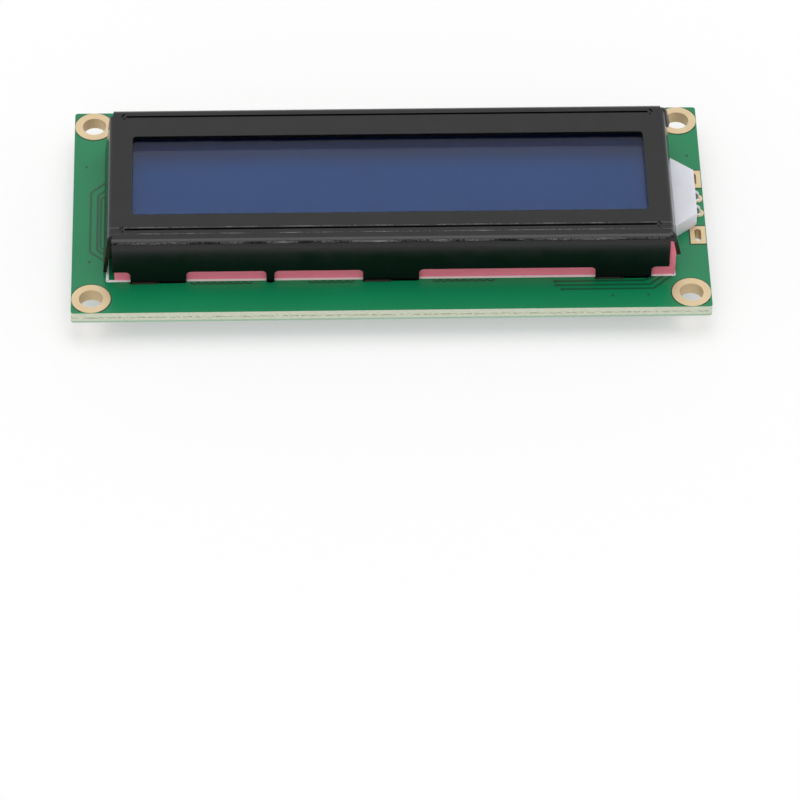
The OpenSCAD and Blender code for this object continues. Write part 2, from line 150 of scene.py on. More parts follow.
def makeBoardFinish():
    # glossy green solder mask over copper on both faces, raw glass-fibre laminate on the sawn edges
    look = {"mask": "#0C8655", "maskDeep": "#0A7B4D", "edgePale": "#F2F2E2", "edgeDark": "#A9B497",
            "score": "#97A78E", "fringe": "#86B79A", "slotWallShaded": "#6E7167", "cloudMm": 9.0, "scoreHalfMm": 0.11,
            "fringeMm": 0.3, "gloss": 0.27, "sawn": 0.8, "rimMm": 0.5, "yarn": (0.45, 0.45, 1.6),
            "fibreMm": 0.22,  # glass yarns, coarser than their filaments so that the sawn edge shows them
            "peelMm": 0.5}  # orange peel of the mask, coarser than real so that the gloss wavers
    material, tree, shader, place = newMaterial("solderMaskOnLaminate", look["mask"], look["gloss"], IOR=1.46)

    absPlace = addNode(tree, "ShaderNodeVectorMath", {0: place}, operation="ABSOLUTE")
    away = addNode(tree, "ShaderNodeSeparateXYZ", {0: absPlace.outputs[0]}).outputs
    height = addNode(tree, "ShaderNodeSeparateXYZ", {0: place}).outputs["Z"]
    normal = addNode(tree, "ShaderNodeNewGeometry").outputs["Normal"]
    absNormal = addNode(tree, "ShaderNodeVectorMath", {0: normal}, operation="ABSOLUTE")
    upright = addNode(tree, "ShaderNodeSeparateXYZ", {0: absNormal.outputs[0]}).outputs["Z"]
    side = addNode(tree, "ShaderNodeMath", {0: upright, 1: 0.5}, operation="LESS_THAN").outputs[0]
    rim = look["rimMm"] * mm
    farX = addNode(tree, "ShaderNodeMath", {0: away["X"], 1: boardHigh[0] - rim}, operation="GREATER_THAN")
    farY = addNode(tree, "ShaderNodeMath", {0: away["Y"], 1: boardHigh[1] - rim}, operation="GREATER_THAN")
    outer = addNode(tree, "ShaderNodeMath", {0: farX.outputs[0], 1: farY.outputs[0]}, operation="MAXIMUM")
    green = mottled(tree, place, look["cloudMm"], 3.0, (look["mask"], look["maskDeep"]))[1]
    stretched = addNode(tree, "ShaderNodeMapping", {"Vector": place, "Scale": look["yarn"]}).outputs[0]
    fibre, raw = mottled(tree, stretched, look["fibreMm"], 5.0, (look["edgeDark"], look["edgePale"]))
    fibre.node.inputs["Roughness"].default_value = 0.7
    low = addNode(tree, "ShaderNodeMapRange", {  # the mask's lower rim shows as a light green fringe
        "Value": height, "From Min": zBack + look["fringeMm"] * mm, "From Max": zBack + 0.8 * look["fringeMm"] * mm,
        "To Max": 0.75})
    fringed = addNode(tree, "ShaderNodeMix", {
        "Factor": low.outputs[0], 6: raw, 7: hexColour(look["fringe"])}, data_type="RGBA")
    offMiddle = addNode(tree, "ShaderNodeMath", {
        0: height, 1: (zBack + zFace) / 2, 2: look["scoreHalfMm"] * mm}, operation="COMPARE")
    broken = addNode(tree, "ShaderNodeMath", {0: fibre, 1: 0.5}, operation="LESS_THAN")
    dashes = addNode(tree, "ShaderNodeMath", {0: offMiddle.outputs[0], 1: broken.outputs[0]}, operation="MULTIPLY")
    edge = addNode(tree, "ShaderNodeMix", {
        "Factor": dashes.outputs[0], 6: fringed.outputs[2], 7: hexColour(look["score"])}, data_type="RGBA")
    # walls of slots and holes: one mid grey darker than the sawn edge, the raw laminate with painted shade of the
    # hole
    wall = addNode(tree, "ShaderNodeMix", {
        "Factor": outer.outputs[0], 6: hexColour(look["slotWallShaded"]), 7: edge.outputs[2]}, data_type="RGBA")
    colour = addNode(tree, "ShaderNodeMix", {"Factor": side, 6: green, 7: wall.outputs[2]}, data_type="RGBA")
    sheen = addNode(tree, "ShaderNodeMapRange", {"Value": side, "To Min": look["gloss"], "To Max": look["sawn"]})
    peel = addNode(tree, "ShaderNodeTexNoise", {"Vector": place, "Scale": perMm(look["peelMm"])})
    faint = addNode(tree, "ShaderNodeMath", {0: peel.outputs["Fac"], 1: 0.06}, operation="MULTIPLY")
    relief = addNode(tree, "ShaderNodeMix", {"Factor": side, 2: faint.outputs[0], 3: fibre})
    bump = addNode(tree, "ShaderNodeBump", {
        "Height": relief.outputs[0], "Strength": 0.5, "Distance": 0.12 * mm})
    setInputs(tree, shader, Base_Color=colour.outputs[2], Roughness=sheen.outputs[0],
              Normal=bump.outputs["Normal"])
    return material


def makeMaskStripe(name, colour, roughness):
    # the same mask where it runs over a track or sinks into the gap beside one, and a dark painted shade for the open
    # slot halves
    look = {"peelMm": 0.4}
    material, tree, shader, place = newMaterial(name, colour, roughness, IOR=1.5)
    peel = addNode(tree, "ShaderNodeTexNoise", {"Vector": place, "Scale": perMm(look["peelMm"])})
    bump = addNode(tree, "ShaderNodeBump", {
        "Height": peel.outputs["Fac"], "Strength": 0.3, "Distance": 0.02 * mm})
    setInputs(tree, shader, Normal=bump.outputs["Normal"])
    return material


def makeBezelLacquer():
    # steel sheet under thin black lacquer: a fine satin grain that wears to grey specks on the folds
    look = {"lacquer": "#070708", "bare": "#8E8E91", "patchMm": 3.0, "roughness": 0.2, "edgeDeepMm": 0.5,
            "grainMm": 0.09, "speckMm": 0.11,  # both coarser than the real powdery grain so that they show
            "lines": ((-12.36, 0.1), (-9.8, 0.07), (-10.93, 0.07), (11.2, 0.12))}  # worn folds: y, half width
    material, tree, shader, place = newMaterial("blackLacqueredSteel", look["lacquer"], look["roughness"], IOR=1.46)
    axes = addNode(tree, "ShaderNodeSeparateXYZ", {0: place}).outputs
    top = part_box("bezel")[1][2]
    worn = addNode(tree, "ShaderNodeMath", {0: axes["Z"], 1: top - look["edgeDeepMm"] * mm},
                   operation="GREATER_THAN")
    lines = None
    for y, half in look["lines"]:
        line = addNode(tree, "ShaderNodeMath", {0: axes["Y"], 1: y * mm, 2: half * mm}, operation="COMPARE")
        lines = line if lines is None else addNode(
            tree, "ShaderNodeMath", {0: lines.outputs[0], 1: line.outputs[0]}, operation="MAXIMUM")
    speck = addNode(tree, "ShaderNodeTexNoise", {"Vector": place, "Scale": perMm(look["speckMm"]), "Detail": 4.0})
    patch = addNode(tree, "ShaderNodeTexNoise", {"Vector": place, "Scale": perMm(look["patchMm"]), "Detail": 2.0})
    both = addNode(tree, "ShaderNodeMath", {0: patch.outputs["Fac"], 1: 0.5, 2: speck.outputs["Fac"]},
                   operation="MULTIPLY_ADD")
    chips = addNode(tree, "ShaderNodeMapRange", {
        "Value": both.outputs[0], "From Min": 0.74, "From Max": 0.86, "To Min": 0.0, "To Max": 0.6})
    along = addNode(tree, "ShaderNodeMath", {0: lines.outputs[0], 1: worn.outputs[0]}, operation="MULTIPLY")
    mask = addNode(tree, "ShaderNodeMath", {0: along.outputs[0], 1: chips.outputs[0]}, operation="MULTIPLY")
    colour = addNode(tree, "ShaderNodeMix", {
        "Factor": mask.outputs[0], 6: hexColour(look["lacquer"]), 7: hexColour(look["bare"])}, data_type="RGBA")
    grain = addNode(tree, "ShaderNodeTexNoise", {"Vector": place, "Scale": perMm(look["grainMm"]), "Detail": 3.0})
    satin = addNode(tree, "ShaderNodeMapRange", {
        "Value": patch.outputs["Fac"], "From Min": 0.3, "From Max": 0.7,
        "To Min": look["roughness"] - 0.04, "To Max": look["roughness"] + 0.06})
    bump = addNode(tree, "ShaderNodeBump", {
        "Height": grain.outputs["Fac"], "Strength": 0.25, "Distance": 0.01 * mm})
    setInputs(tree, shader, Base_Color=colour.outputs[2], Roughness=satin.outputs[0],
              Normal=bump.outputs["Normal"])
    return material


def makeGold():
    # immersion gold over nickel: pale and silky, with a faint cast of pink and a fine etched grain
    look = {"pale": "#DECAA6", "warm": "#CDB48B", "grainMm": 0.25, "castMm": 2.5}
    material, tree, shader, place = newMaterial("immersionGold", look["pale"], 0.42, Metallic=0.55)
    colour = mottled(tree, place, look["castMm"], 2.0, (look["pale"], look["warm"]))[1]
    grain = addNode(tree, "ShaderNodeTexNoise", {"Vector": place, "Scale": perMm(look["grainMm"]), "Detail": 3.0})
    bump = addNode(tree, "ShaderNodeBump", {
        "Height": grain.outputs["Fac"], "Strength": 0.35, "Distance": 0.015 * mm})
    setInputs(tree, shader, Base_Color=colour, Normal=bump.outputs["Normal"])
    return material


def makeTin():
    # reflowed tin solder: bright, slightly frosted where it cooled slowly
    look = {"tin": "#BDBFC2", "bright": 0.24, "frosted": 0.5, "frostMm": 0.45}
    material, tree, shader, place = newMaterial("reflowedTin", look["tin"], look["frosted"], Metallic=1.0)
    frost = addNode(tree, "ShaderNodeTexNoise", {"Vector": place, "Scale": perMm(look["frostMm"]), "Detail": 4.0})
    sheen = addNode(tree, "ShaderNodeMapRange", {
        "Value": frost.outputs["Fac"], "From Min": 0.35, "From Max": 0.7,
        "To Min": look["bright"], "To Max": look["frosted"]})
    bump = addNode(tree, "ShaderNodeBump", {
        "Height": frost.outputs["Fac"], "Strength": 0.4, "Distance": 0.06 * mm})
    setInputs(tree, shader, Roughness=sheen.outputs[0], Normal=bump.outputs["Normal"])
    return material


def makeSilicone():
    # pigmented silicone rubber: matt pink with a soft sheen and faint moulding streaks along the strip
    look = {"pink": "#F88BA0", "deep": "#EE7D92", "streakMm": 0.5}
    material, tree, shader, place = newMaterial(
        "pinkSilicone", look["pink"], 0.48, IOR=1.41, Subsurface_Weight=0.15,
        Subsurface_Radius=(0.6 * mm, 0.25 * mm, 0.25 * mm), Subsurface_Scale=1.0)
    along = addNode(tree, "ShaderNodeMapping", {"Vector": place, "Scale": (0.08, 1.0, 1.0)}).outputs[0]
    streak, colour = mottled(tree, along, look["streakMm"], 3.0, (look["pink"], look["deep"]))
    bump = addNode(tree, "ShaderNodeBump", {"Height": streak, "Strength": 0.3, "Distance": 0.03 * mm})
    setInputs(tree, shader, Base_Color=colour, Normal=bump.outputs["Normal"])
    return material


def makeTonguePlastic():
    # white filled polycarbonate: milky, a little glossy, with light that sinks in before it returns
    look = {"white": "#E9EAF1", "shade": "#DDDFE9", "cloudMm": 2.0, "fineMm": 0.2}
    material, tree, shader, place = newMaterial(
        "milkyPolycarbonate", look["white"], 0.32, IOR=1.58, Subsurface_Weight=0.35,
        Subsurface_Radius=(1.2 * mm, 1.2 * mm, 1.4 * mm), Subsurface_Scale=1.0)
    colour = mottled(tree, place, look["cloudMm"], 2.0, (look["white"], look["shade"]))[1]
    fine = addNode(tree, "ShaderNodeTexNoise", {"Vector": place, "Scale": perMm(look["fineMm"])})
    bump = addNode(tree, "ShaderNodeBump", {
        "Height": fine.outputs["Fac"], "Strength": 0.2, "Distance": 0.01 * mm})
    setInputs(tree, shader, Base_Color=colour, Normal=bump.outputs["Normal"])
    return material


def makeEpoxy():
    # black glob-top epoxy: poured, cured to a soft gloss with a fine grit and slow ripples
    look = {"black": "#101012", "dust": "#1D1D20", "gritMm": 0.14, "rippleMm": 2.4}
    material, tree, shader, place = newMaterial("blackEpoxy", look["black"], 0.27, IOR=1.46)
    grit, colour = mottled(tree, place, look["gritMm"], 3.0, (look["black"], look["dust"]))
    ripple = addNode(tree, "ShaderNodeTexNoise", {"Vector": place, "Scale": perMm(look["rippleMm"]), "Detail": 1.0})
    fine = addNode(tree, "ShaderNodeBump", {"Height": grit, "Strength": 0.35, "Distance": 0.02 * mm})
    broad = addNode(tree, "ShaderNodeBump", {
        "Height": ripple.outputs["Fac"], "Strength": 0.7, "Distance": 0.3 * mm,
        "Normal": fine.outputs["Normal"]})
    setInputs(tree, shader, Base_Color=colour, Normal=broad.outputs["Normal"])
    return material


def makePrintInk():
    # white legend ink, screened on: chalky, with a ragged film that lets a little green through
    look = {"ink": "#F1F3EE", "thin": "#CFE0D4", "ragMm": 0.18}  # the mesh of the screen is finer than the rag drawn
    material, tree, shader, place = newMaterial("whiteLegendInk", look["ink"], 0.6)
    rag = addNode(tree, "ShaderNodeTexNoise", {"Vector": place, "Scale": perMm(look["ragMm"]), "Detail": 3.0})
    thin = addNode(tree, "ShaderNodeMapRange", {
        "Value": rag.outputs["Fac"], "From Min": 0.55, "From Max": 0.75, "To Min": 0.0, "To Max": 0.6})
    colour = addNode(tree, "ShaderNodeMix", {
        "Factor": thin.outputs[0], 6: hexColour(look["ink"]), 7: hexColour(look["thin"])}, data_type="RGBA")
    setInputs(tree, shader, Base_Color=colour.outputs[2])
    return material


def makeDisplayBlue():
    # the blue twisted-crystal layer with painted shade: deep navy at the far edge, clearer blue towards the near edge
    look = {"near": "#0A3366", "far": "#0E1A3C", "mottleMm": 16.0, "shadeRampMm": (0.9, 5.9), "sway": 0.25}
    material, tree, shader, place = newMaterial("blueCrystalLayer", look["near"], 0.5, Specular_IOR_Level=0.0)
    axes = addNode(tree, "ShaderNodeSeparateXYZ", {0: place}).outputs
    # painted shade: the blue is blended darker towards the far edge of the window, between 0.9 mm and 5.9 mm past its
    # middle
    shadeRamp = addNode(tree, "ShaderNodeMapRange", {
        "Value": axes["Y"], "From Min": look["shadeRampMm"][0] * mm, "From Max": look["shadeRampMm"][1] * mm},
        interpolation_type="SMOOTHSTEP")
    mottle = addNode(tree, "ShaderNodeTexNoise", {
        "Vector": place, "Scale": perMm(look["mottleMm"]), "Detail": 1.0})
    sway = addNode(tree, "ShaderNodeMath", {0: mottle.outputs["Fac"], 1: 0.5}, operation="SUBTRACT")
    wander = addNode(tree, "ShaderNodeMath", {0: sway.outputs[0], 1: look["sway"], 2: shadeRamp.outputs[0]},
                     operation="MULTIPLY_ADD")
    clamp = addNode(tree, "ShaderNodeClamp", {"Value": wander.outputs[0]})
    colour = addNode(tree, "ShaderNodeMix", {
        "Factor": clamp.outputs[0], 6: hexColour(look["near"]), 7: hexColour(look["far"])}, data_type="RGBA")
    setInputs(tree, shader, Base_Color=colour.outputs[2])
    return material


def makeDisplayGlass():
    # clear float glass under a hard film; lamps pass straight through it, so the blue below is lit
    look = {"clear": "#FFFFFF", "smooth": 0.02, "hazy": 0.04, "hazeMm": 9.0, "passed": 0.93}
    material, tree, shader, place = newMaterial("displayGlass", look["clear"], look["smooth"], IOR=1.32,
                                                 Transmission_Weight=1.0)
    haze = addNode(tree, "ShaderNodeTexNoise", {"Vector": place, "Scale": perMm(look["hazeMm"]), "Detail": 2.0})
    sheen = addNode(tree, "ShaderNodeMapRange", {
        "Value": haze.outputs["Fac"], "From Min": 0.3, "From Max": 0.7,
        "To Min": look["smooth"], "To Max": look["hazy"]})
    setInputs(tree, shader, Roughness=sheen.outputs[0])
    clear = addNode(tree, "ShaderNodeBsdfTransparent", {"Color": (look["passed"],) * 3 + (1.0,)})
    rays = addNode(tree, "ShaderNodeLightPath").outputs["Is Shadow Ray"]
    both = addNode(tree, "ShaderNodeMixShader", {0: rays, 1: shader.outputs["BSDF"], 2: clear.outputs[0]})
    setSurface(tree, both.outputs[0])
    return material


def makePlain(name, colour, roughness, patternMm, depth, **sockets):
    # small parts: one colour, broken up by a fine grain of its own size
    material, tree, shader, place = newMaterial(name, colour, roughness, **sockets)
    grain = addNode(tree, "ShaderNodeTexNoise", {"Vector": place, "Scale": perMm(patternMm), "Detail": 3.0})
    bump = addNode(tree, "ShaderNodeBump", {
        "Height": grain.outputs["Fac"], "Strength": 0.4, "Distance": depth * mm})
    setInputs(tree, shader, Normal=bump.outputs["Normal"])
    return material


boardFinish = makeBoardFinish()
gapFinish = makeMaskStripe("maskInGap", "#0D5637", 0.34)
trackFinish = makeMaskStripe("maskOverTrack", "#2A9A68", 0.28)
viaFinish = makeMaskStripe("maskInVia", "#103F29", 0.5)
# painted shade: a dark brown-green for the open halves of the slots in front of the bezel's feet
slotShadeFinish = makeMaskStripe("paintedSlotShade", "#2A2A1C", 0.6)
lacquer = makeBezelLacquer()
gold = makeGold()
tin = makeTin()
silicone = makeSilicone()
tonguePlastic = makeTonguePlastic()
epoxy = makeEpoxy()
printInk = makePrintInk()
displayBlue = makeDisplayBlue()
displayGlass = makeDisplayGlass()
alumina = makePlain("whiteAlumina", "#E6E4DD", 0.6, 0.1, 0.01)  # fired ceramic, chalk white
glaze = makePlain("blackOverglaze", "#17171A", 0.25, 0.2, 0.008)  # fired glass over the resistive film
carbon = makePlain("carbonLoadedSilicone", "#1C1C1D", 0.7, 0.2, 0.02)  # sooty, soft and matt
film = makePlain("whiteOpticalFilm", "#F2F2F0", 0.5, 0.3, 0.005)  # smooth even white
seal = makePlain("epoxySeal", "#C9C8BE", 0.5, 0.3, 0.01)  # dull cream bead
silicon = makePlain("silicon", "#4A4D55", 0.2, 0.5, 0.003, Metallic=0.6)  # dark polished grey
lampResin = makePlain("lampResin", "#F1EED6", 0.35, 0.4, 0.01)  # waxy pale yellow
leadTin = makePlain("tinnedWire", "#C4C5C8", 0.3, 0.15, 0.01, Metallic=1.0)  # bright drawn wire

dress(boardFinish, "circuit_board")
dress(lacquer, "bezel")
dress(silicone, "zebra_pad_near", "zebra_pad_far")
dress(carbon, "zebra_core_near", "zebra_core_far")
dress(tonguePlastic, "light_guide")
dress(displayBlue, "rear_glass")
dress(film, "diffuser_sheet", "reflector_sheet", "rear_polariser")
dress(seal, "cell_seal")
dress(lampResin, "lamp")
dress(leadTin, "lamp_leads")
dress(gold, "lead_pads", "lamp_pads", "mounting_eyelets", "header_pads", "tab_pads", "spare_pads", "jumper_pads")
dress(tin, "resistor_solder", "jumper_solder")
dress(epoxy, "dome_controller", "dome_driver")
dress(silicon, "die_controller", "die_driver")
print("finishes made")


# node trees for what follows a path or repeats

def newTree(name, sizes, materials):
    tree = bpy.data.node_groups.new(name, "GeometryNodeTree")
    face = tree.interface
    face.new_socket("Geometry", in_out="INPUT", socket_type="NodeSocketGeometry")
    for label, value in sizes.items():
        kind = "NodeSocketInt" if isinstance(value, int) else "NodeSocketFloat"
        face.new_socket(label, in_out="INPUT", socket_type=kind).default_value = value
    for label in materials:
        face.new_socket(label, in_out="INPUT", socket_type="NodeSocketMaterial")
    face.new_socket("Geometry", in_out="OUTPUT", socket_type="NodeSocketGeometry")
    return tree, addNode(tree, "NodeGroupInput").outputs


def closeTree(tree, geometry, material):
    real = addNode(tree, "GeometryNodeRealizeInstances", {"Geometry": geometry})
    done = addNode(tree, "GeometryNodeSetMaterial", {"Geometry": real.outputs[0], "Material": material})
    addNode(tree, "NodeGroupOutput", {0: done.outputs[0]})


def makeRibbonTree():  # flat strips with rounded ends along each path
    tree, given = newTree("ribbonAlongPath", {"Width": 0.2 * mm, "Thickness": 0.01 * mm, "Bend": 0.2 * mm},
                          ["Material"])
    curve = addNode(tree, "GeometryNodeMeshToCurve", {"Mesh": given["Geometry"]})
    bent = addNode(tree, "GeometryNodeFilletCurve", {
        "Curve": curve.outputs[0], "Count": 3, "Radius": given["Bend"], "Limit Radius": True}, mode="POLY")
    flat = addNode(tree, "GeometryNodeSetCurveNormal", {"Curve": bent.outputs[0]}, mode="Z_UP")
    section = addNode(tree, "GeometryNodeCurvePrimitiveQuadrilateral", {
        "Width": given["Width"], "Height": given["Thickness"]})
    strip = addNode(tree, "GeometryNodeCurveToMesh", {
        "Curve": flat.outputs[0], "Profile Curve": section.outputs[0], "Fill Caps": True})
    ends = addNode(tree, "GeometryNodeCurveEndpointSelection")
    half = addNode(tree, "ShaderNodeMath", {0: given["Width"], 1: 0.5}, operation="MULTIPLY")
    disc = addNode(tree, "GeometryNodeMeshCylinder", {
        "Vertices": 10, "Radius": half.outputs[0], "Depth": given["Thickness"]})
    caps = addNode(tree, "GeometryNodeInstanceOnPoints", {
        "Points": flat.outputs[0], "Selection": ends.outputs[0], "Instance": disc.outputs["Mesh"]})
    both = addNode(tree, "GeometryNodeJoinGeometry")
    tree.links.new(caps.outputs[0], both.inputs[0])
    tree.links.new(strip.outputs[0], both.inputs[0])
    closeTree(tree, both.outputs[0], given["Material"])
    return tree


def makeDotTree():  # a low round button on each point
    tree, given = newTree("buttonOnPoint", {"Radius": 0.2 * mm, "Height": 0.01 * mm}, ["Material"])
    disc = addNode(tree, "GeometryNodeMeshCylinder", {
        "Vertices": 14, "Radius": given["Radius"], "Depth": given["Height"]})
    dots = addNode(tree, "GeometryNodeInstanceOnPoints", {
        "Points": given["Geometry"], "Instance": disc.outputs["Mesh"]})
    closeTree(tree, dots.outputs[0], given["Material"])
    return tree


def growMesh(name, mesh, tree, values):
    holder = bpy.data.objects.new(name, mesh)
    bpy.context.scene.collection.objects.link(holder)
    modifier = holder.modifiers.new("grow", "NODES")
    modifier.node_group = tree
    for item in tree.interface.items_tree:
        if item.item_type == "SOCKET" and item.in_out == "INPUT" and item.name in values:
            modifier[item.identifier] = values[item.name]
    graph = bpy.context.evaluated_depsgraph_get()
    grown = bpy.data.meshes.new_from_object(holder.evaluated_get(graph), depsgraph=graph)
    bpy.data.objects.remove(holder)
    return grown


def pathMesh(name, paths, place, lift):
    points, edges = [], []
    for path in paths:
        start = len(points)
        points += [place(x, y, lift) for x, y in path]
        edges += [(start + i, start + i + 1) for i in range(len(path) - 1)]
    mesh = bpy.data.meshes.new(name)
    mesh.from_pydata(points, edges, [])
    return mesh


ribbonTree = makeRibbonTree()
dotTree = makeDotTree()


def addRibbons(name, paths, place, material, lift, width, thick, bend):
    mesh = growMesh(name, pathMesh(name, paths, place, lift), ribbonTree, {
        "Width": width * mm, "Thickness": thick * mm, "Bend": bend * mm, "Material": material})
    return addPiece(name, mesh)


def addDots(name, spots, place, material, lift, radius, thick):
    mesh = growMesh(name, pathMesh(name, [[spot] for spot in spots], place, lift), dotTree, {
        "Radius": radius * mm, "Height": thick * mm, "Material": material})
    return addPiece(name, mesh)


# the display window: glass and film as one stepped block, over the blue layer

def addDisplayWindow():
    plateLow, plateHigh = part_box("front_glass")
    filmLow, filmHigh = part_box("front_polariser")
    levels = [(plateLow, plateHigh, plateLow[2]), (plateLow, plateHigh, plateHigh[2]),
              (filmLow, filmHigh, filmLow[2]), (filmLow, filmHigh, filmHigh[2])]
    shape = bmesh.new()
    rings = []
    for low, high, z in levels:
        corners = ((low[0], low[1]), (high[0], low[1]), (high[0], high[1]), (low[0], high[1]))
        rings.append([shape.verts.new((x, y, z)) for x, y in corners])
    shape.faces.new(list(reversed(rings[0])))
    shape.faces.new(rings[-1])
    for below, above in zip(rings, rings[1:]):
        for i in range(4):
            shape.faces.new((below[i], below[(i + 1) % 4], above[(i + 1) % 4], above[i]))
    bmesh.ops.recalc_face_normals(shape, faces=shape.faces)
    piece = addPiece("displayWindow", closeShape("displayWindow", shape, displayGlass))
    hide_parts("front_polariser", "front_glass")


addDisplayWindow()
print("display window built")


def boxPath(left, low, right, high):
    return [(left, low), (right, low), (right, high), (left, high), (left, low)]


def ringPath(centreX, centreY, radius, start=0, end=360, steps=40):
    angles = [math.radians(start + (end - start) * i / steps) for i in range(steps + 1)]
    return [(centreX + radius * math.cos(a), centreY + radius * math.sin(a)) for a in angles]


# the folded corners at the right-hand end of the bezel, where the short skirt rounds off into the long ones

def addFoldedCorners():
    # pairs run from the start of the flap to its end; millimetres and degrees
    fold = {"bend": (0.6, 0.8), "sheet": 0.5, "flare": (9.0, 10.0), "reach": 3.3, "edge": (34.72, 34.98),
            "inside": 34.4, "from": 10.83, "run": 0.98, "drop": 0.55, "middle": -0.45, "turn": 84, "steps": 8,
            "bendSteps": 6, "hemDrop": 0.3, "settled": 0.2}  # the hem drops less, the edge settles early
    top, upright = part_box("bezel")[1][2] / mm, math.radians(90)
    shape = bmesh.new()
    for side in (-1, 1):
        rings = []
        for step in range(fold["steps"] + 1):
            share = step / fold["steps"]
            turn = math.radians(fold["turn"] * share)
            y = fold["middle"] + side * (fold["from"] + fold["run"] * math.sin(turn))
            sink = fold["drop"] * (1 - math.cos(turn))
            bend = fold["bend"][0] + (fold["bend"][1] - fold["bend"][0]) * share
            edge = fold["edge"][0] + (fold["edge"][1] - fold["edge"][0]) * min(1, share / fold["settled"])
            lean = math.radians(fold["flare"][0] + (fold["flare"][1] - fold["flare"][0]) * share)
            section = []
            for radius in (bend, bend - fold["sheet"]):
                arc = [upright - (upright - lean) * i / fold["bendSteps"] for i in range(fold["bendSteps"] + 1)]
                points = [(fold["inside"] - edge, radius)]
                points += [(radius * math.cos(a), radius * math.sin(a)) for a in arc]
                length = fold["reach"] - bend
                points.append((points[-1][0] + math.sin(lean) * length, points[-1][1] - math.cos(lean) * length))
                section += points if radius == bend else reversed(points)
            rings.append([shape.verts.new(((edge + x) * mm, y * mm, (top - bend + z) * mm
                                           - sink * mm * (fold["hemDrop"] if z < -1 else 1.0)))
                          for x, z in section])
        for first, second in zip(rings, rings[1:]):
            for i in range(len(first)):
                j = (i + 1) % len(first)
                shape.faces.new((first[i], first[j], second[j], second[i]))
        shape.faces.new(rings[0])
        shape.faces.new(rings[-1])
    bmesh.ops.recalc_face_normals(shape, faces=shape.faces)
    addPiece("foldedCorners", closeShape("foldedCorners", shape, lacquer), smoothAngle=50)


addFoldedCorners()
print("bezel corners folded")


# the front of the board: printed frame, tracks and vias round the bezel

frontValues = {"printX": 35.5, "printNear": -12.4, "printFar": 12.1}
side, near, far = frontValues["printX"], frontValues["printNear"], frontValues["printFar"]
addRibbons("frontFramePrint", [[(-side, far), (-side, near), (side, near), (side, far), (-side, far)]], onFace,
           printInk, lift=0.012, width=0.36, thick=0.014, bend=0.05)
frontGaps = [
    [(-35.8, 5.3), (-37.75, 3.4), (-37.75, -7.2), (-35.9, -8.85)],
    [(-35.8, 3.9), (-36.85, 2.85), (-36.85, -6.8), (-35.9, -7.8)],
    [(-35.8, 2.9), (-36.45, 2.3), (-36.45, -6.4), (-35.9, -7.0)],
    [(20.7, -14.0), (32.4, -14.0), (34.0, -12.6)],
    [(21.4, -14.7), (32.8, -14.7), (35.3, -12.4)],
    [(20.5, -13.3), (31.7, -13.3), (32.9, -12.6)]]
addRibbons("frontTrackGaps", frontGaps, onFace, gapFinish, lift=0.006, width=0.3, thick=0.008, bend=0.2)
ringRow = [(x0 + i * 0.97, -12.72) for x0, count in ((-24.6, 8), (-9.9, 6), (5.7, 8)) for i in range(count)]
addRibbons("frontViaRings", [ringPath(x, y, 0.4, 185, 355, 8) for x, y in ringRow], onFace, viaFinish,
           lift=0.008, width=0.17, thick=0.008, bend=0.02)
addDots("frontTraceEnds", [path[0] for path in frontGaps[3:]], onFace, gapFinish,
        lift=0.007, radius=0.28, thick=0.01)
# painted shadow: a dark strip over the open slot half beside each foot of the bezel
addRibbons("slotShadeStrips", [[(x - 3.5, -12.86), (x - 0.1, -12.86)] for x in boardPlan["slotX"]], onFace, slotShadeFinish,
           lift=0.003, width=0.36, thick=0.006, bend=0.2)
addDots("frontVias", [(-38.4, 8.1), (-37.8, -9.0), (38.4, 9.0), (27.6, -15.9), (32.1, -15.8)], onFace, viaFinish,
        lift=0.01, radius=0.17, thick=0.012)


def padRings(face):  # the narrow ring of bare laminate that the mask leaves round each pad
    ring = {"mount": 2.53, "header": 1.06, "lampHalf": 1.67, "lampInner": 37.84, "endX": 39.85, "endY": 17.88,
            "arcs": ((118, 332, 36), (30, 60, 8))}  # degrees and steps, open where a ring would leave the board
    rings = []
    mountX, mountY = boardPlan["mountX"], boardPlan["mountY"]
    corners = ((mountX, mountY), (-mountX, mountY), (-mountX, -mountY), (mountX, -mountY))
    for quarter, (cx, cy) in enumerate(corners):
        for start, end, steps in ring["arcs"]:
            rings.append(ringPath(cx, cy, ring["mount"], 90 * quarter + start, 90 * quarter + end, steps))
    outer, inner, half = face * ring["endX"], face * ring["lampInner"], ring["lampHalf"]
    for y in boardPlan["lampPadY"]:
        rings.append([(outer, y + half), (inner, y + half), (inner, y - half), (outer, y - half)])
    for x in boardPlan["headerX"]:
        x, radius = face * x, ring["header"]
        rings.append([(x - radius, ring["endY"])] + ringPath(x, boardPlan["headerY"], radius, 180, 360, 14)
                     + [(x + radius, ring["endY"])])
    return rings


addRibbons("frontPadRings", padRings(1), onFace, viaFinish, lift=0.004, width=0.16, thick=0.008, bend=0.05)
print("front of the board printed")


# a plain stroke alphabet on a grid 4 wide and 6 high, enough for part numbers and pin marks

